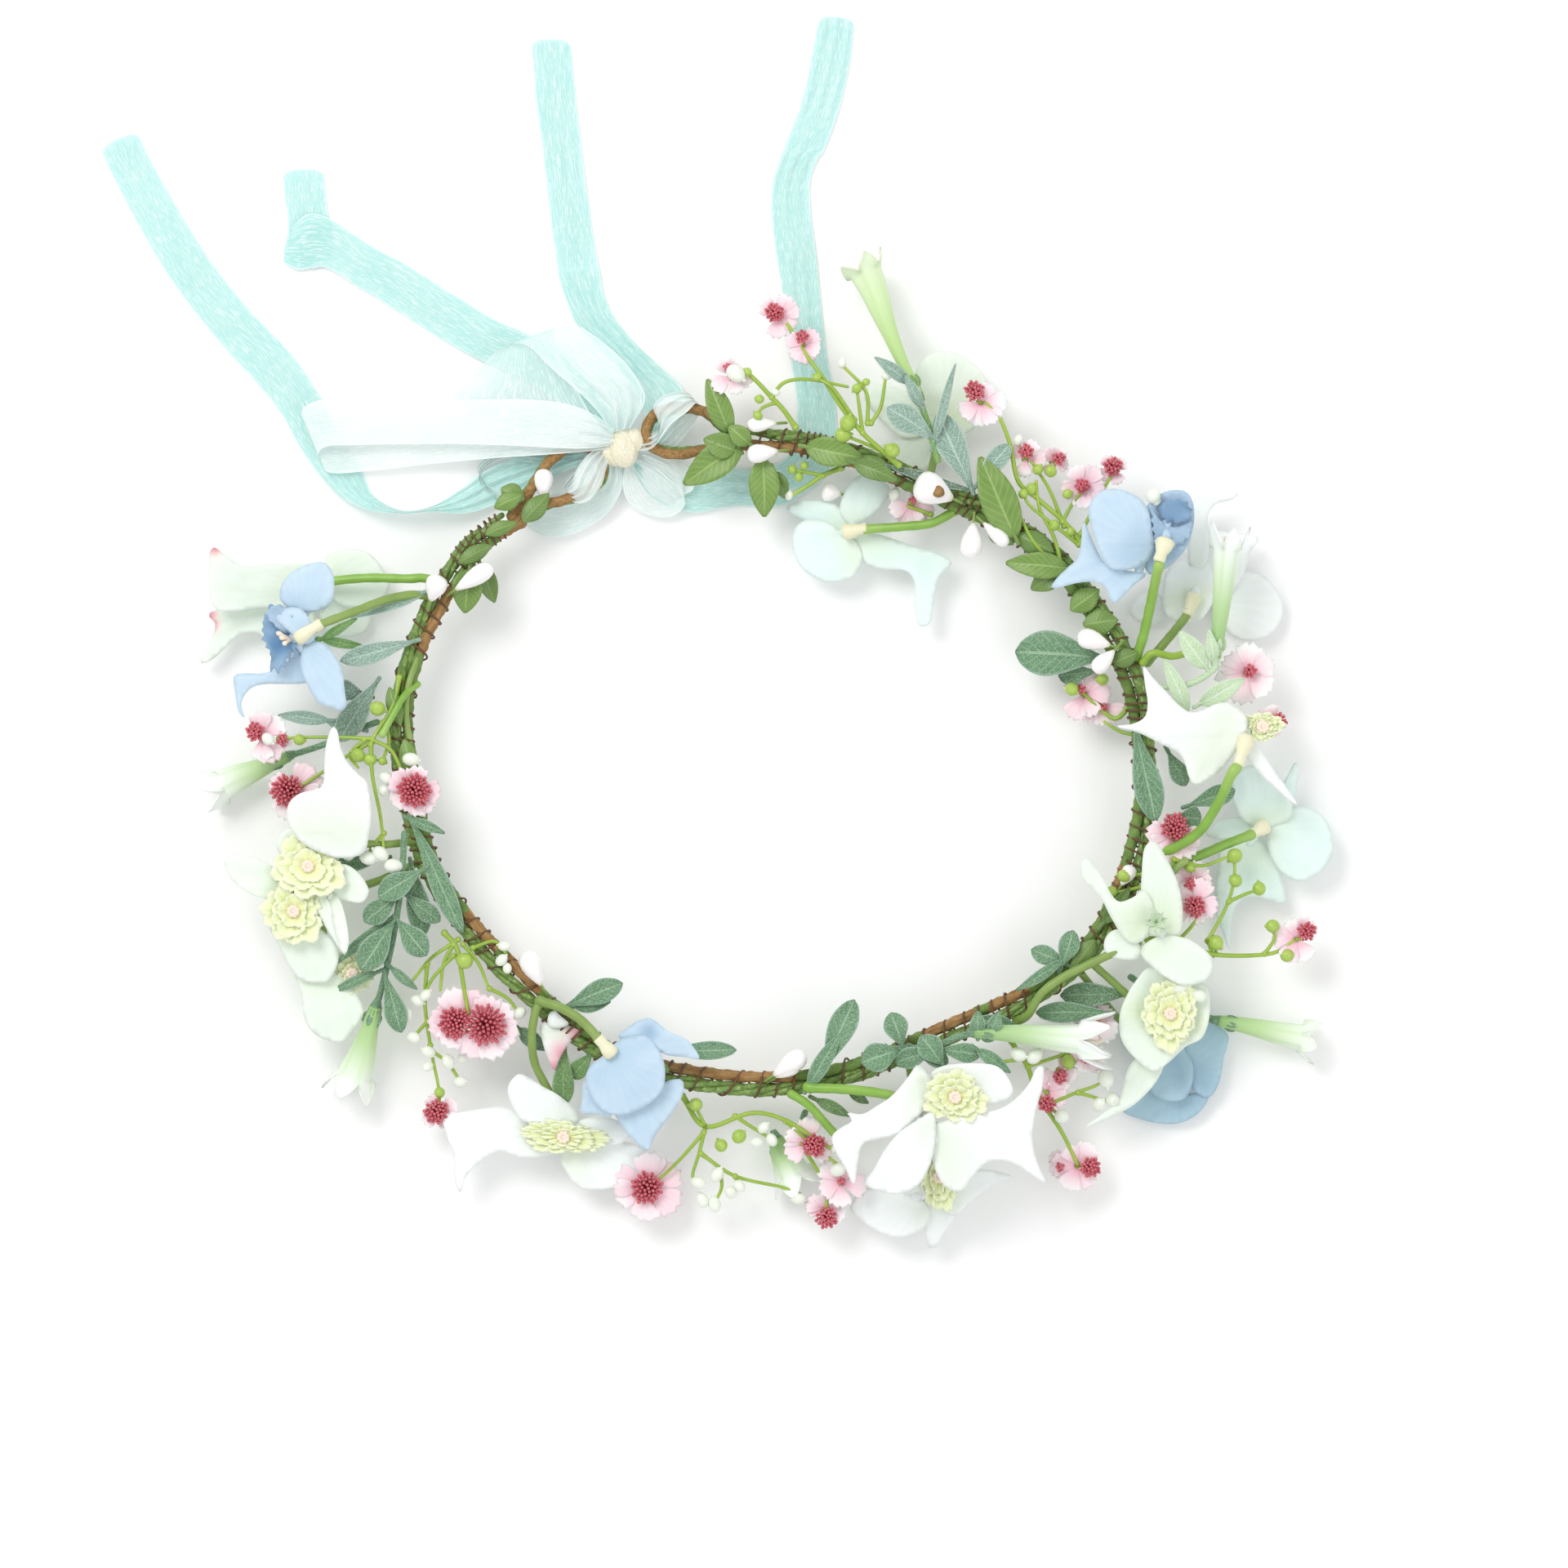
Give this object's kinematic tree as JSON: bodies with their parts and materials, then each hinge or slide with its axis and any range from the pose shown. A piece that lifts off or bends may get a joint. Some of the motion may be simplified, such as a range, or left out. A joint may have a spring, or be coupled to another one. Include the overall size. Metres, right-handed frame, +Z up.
{
  "type": "flower crown",
  "caption": "Open wire-and-vine hoop headdress dressed with soft flowers, trumpet flowers, blossom sprays and leaves, tied at the gap with a sheer ribbon bow.",
  "frame": {"origin": "bottom centre of the crown's bounding box as it lies flat, on the surface it lies on", "axes": "+Z up out of the surface, through the head opening; +Y towards the ribbon tails; +X to the right as seen from above"},
  "size_m": [0.3217, 0.3218, 0.0294],
  "materials": {
    "twig": "matt brown paper-wrapped wire twig",
    "green_tape": "waxy green floral tape, satin",
    "binding_wire": "fine brown paper-covered wire",
    "organza": "translucent organza with a soft sheen and thin selvedges",
    "white_petal": "soft-touch moulded petal, matt, green-tinted base",
    "blue_petal": "soft-touch moulded petal, matt, darker ruffled throat",
    "flower_stem": "moulded plastic over wire, semi-gloss",
    "trumpet": "frosted green trumpet flower fading to white, flocked leaves",
    "pink_flower": "pink and white petals with crimson beaded stamens",
    "satin_leaf": "olive satin leaf, fine ribbed weave",
    "frosted_leaf": "grey-green flocked leaf",
    "white_berry": "glossy white lacquered berry"
  },
  "bodies": {
    "crown": {"vine_twig": "twig", "left_eye_loop": "twig", "right_eye_loop": "twig", "green_taped_stems": "green_tape", "binding_wire": "binding_wire", "ribbon_knot": "organza", "bow_loop_left": "organza", "bow_loop_upper": "organza", "ribbon_lower_loop": "organza", "ribbon_tail_outer_left": "organza", "ribbon_tail_left": "organza", "ribbon_tail_middle": "organza", "ribbon_tail_right": "organza", "white_flower_spire": "white_petal", "white_flower_double": "white_petal", "white_flower_right": "white_petal", "pale_green_flower": "white_petal", "white_flower_lower_right": "white_petal", "blue_flower_shaded": "blue_petal", "white_flower_bottom_low": "white_petal", "white_flower_lower_left": "white_petal", "white_flower_top": "white_petal", "trumpet_left": "trumpet", "trumpet_lower_left": "trumpet", "trumpet_upper_right": "trumpet", "trumpet_bottom": "trumpet", "trumpet_right": "trumpet", "trumpet_bottom_bell": "trumpet", "blossom_spray_top": "pink_flower", "blossom_spray_small": "pink_flower", "blossom_spray_upper_right": "pink_flower", "blossom_spray_right": "pink_flower", "blossom_spray_lower_right": "pink_flower", "blossom_spray_bottom": "pink_flower", "blossom_spray_lower_left": "pink_flower", "blossom_spray_left": "pink_flower", "satin_leaves_right_end": "satin_leaf", "satin_leaves_top_right": "satin_leaf", "frosted_leaf_inner_right": "frosted_leaf", "frosted_leaves_bottom": "frosted_leaf", "white_berries_left": "white_berry", "white_berries_top": "white_berry", "white_berries_right": "white_berry"},
    "white_flower_left_body": {"white_flower_left": "white_petal", "white_flower_left_stem": "flower_stem"},
    "blue_flower_left_body": {"blue_flower_left": "blue_petal", "blue_flower_left_stem": "flower_stem"},
    "white_flower_top_right_body": {"white_flower_top_right": "white_petal", "white_flower_top_right_stem": "flower_stem"},
    "blue_flower_right_body": {"blue_flower_right": "blue_petal", "blue_flower_right_stem": "flower_stem"},
    "white_flower_star_body": {"white_flower_star": "white_petal", "white_flower_star_stem": "flower_stem"},
    "white_flower_bottom_body": {"white_flower_bottom": "white_petal", "white_flower_bottom_stem": "flower_stem"},
    "blue_flower_bottom_body": {"blue_flower_bottom": "blue_petal", "blue_flower_bottom_stem": "flower_stem"},
    "white_flower_inner_body": {"white_flower_inner": "white_petal", "white_flower_inner_stem": "flower_stem"},
    "trumpet_top_body": {"trumpet_top": "trumpet"}
  },
  "joints": [
    {"name": "white_flower_left_bend", "type": "hinge", "parent": "crown", "child": "white_flower_left_body", "pos_m": [-0.07638, 0.01381, 0.014], "axis": [-0.1326, 0.9912, 0], "range_deg": [0, 14]},
    {"name": "blue_flower_left_bend", "type": "hinge", "parent": "crown", "child": "blue_flower_left_body", "pos_m": [-0.07872, 0.00891, 0.018], "axis": [-0.328, 0.9447, 0], "range_deg": [0, 40]},
    {"name": "white_flower_top_right_bend", "type": "hinge", "parent": "crown", "child": "white_flower_top_right_body", "pos_m": [0.11234, -0.00896, 0.014], "axis": [0.8064, -0.5914, 0], "range_deg": [0, 10]},
    {"name": "blue_flower_right_bend", "type": "hinge", "parent": "crown", "child": "blue_flower_right_body", "pos_m": [0.11106, -0.00343, 0.018], "axis": [0.9999, -0.0164, 0], "range_deg": [0, 40]},
    {"name": "white_flower_star_bend", "type": "hinge", "parent": "crown", "child": "white_flower_star_body", "pos_m": [0.1183, -0.05747, 0.018], "axis": [0.9549, -0.2971, 0], "range_deg": [0, 35]},
    {"name": "white_flower_bottom_bend", "type": "hinge", "parent": "crown", "child": "white_flower_bottom_body", "pos_m": [0.02468, -0.11938, 0.0198], "axis": [-0.306, -0.952, 0], "range_deg": [0, 35]},
    {"name": "blue_flower_bottom_bend", "type": "hinge", "parent": "crown", "child": "blue_flower_bottom_body", "pos_m": [-0.04511, -0.09747, 0.0198], "axis": [-0.6, -0.8, 0], "range_deg": [0, 40]},
    {"name": "white_flower_inner_bend", "type": "hinge", "parent": "crown", "child": "white_flower_inner_body", "pos_m": [0.0634, 0.02764, 0.014], "axis": [-0.0892, 0.996, 0], "range_deg": [0, 30]},
    {"name": "trumpet_top_bend", "type": "hinge", "parent": "crown", "child": "trumpet_top_body", "pos_m": [0.05787, 0.04338, 0.0205], "axis": [0.9319, 0.3628, 0], "range_deg": [0, 35]}
  ]
}
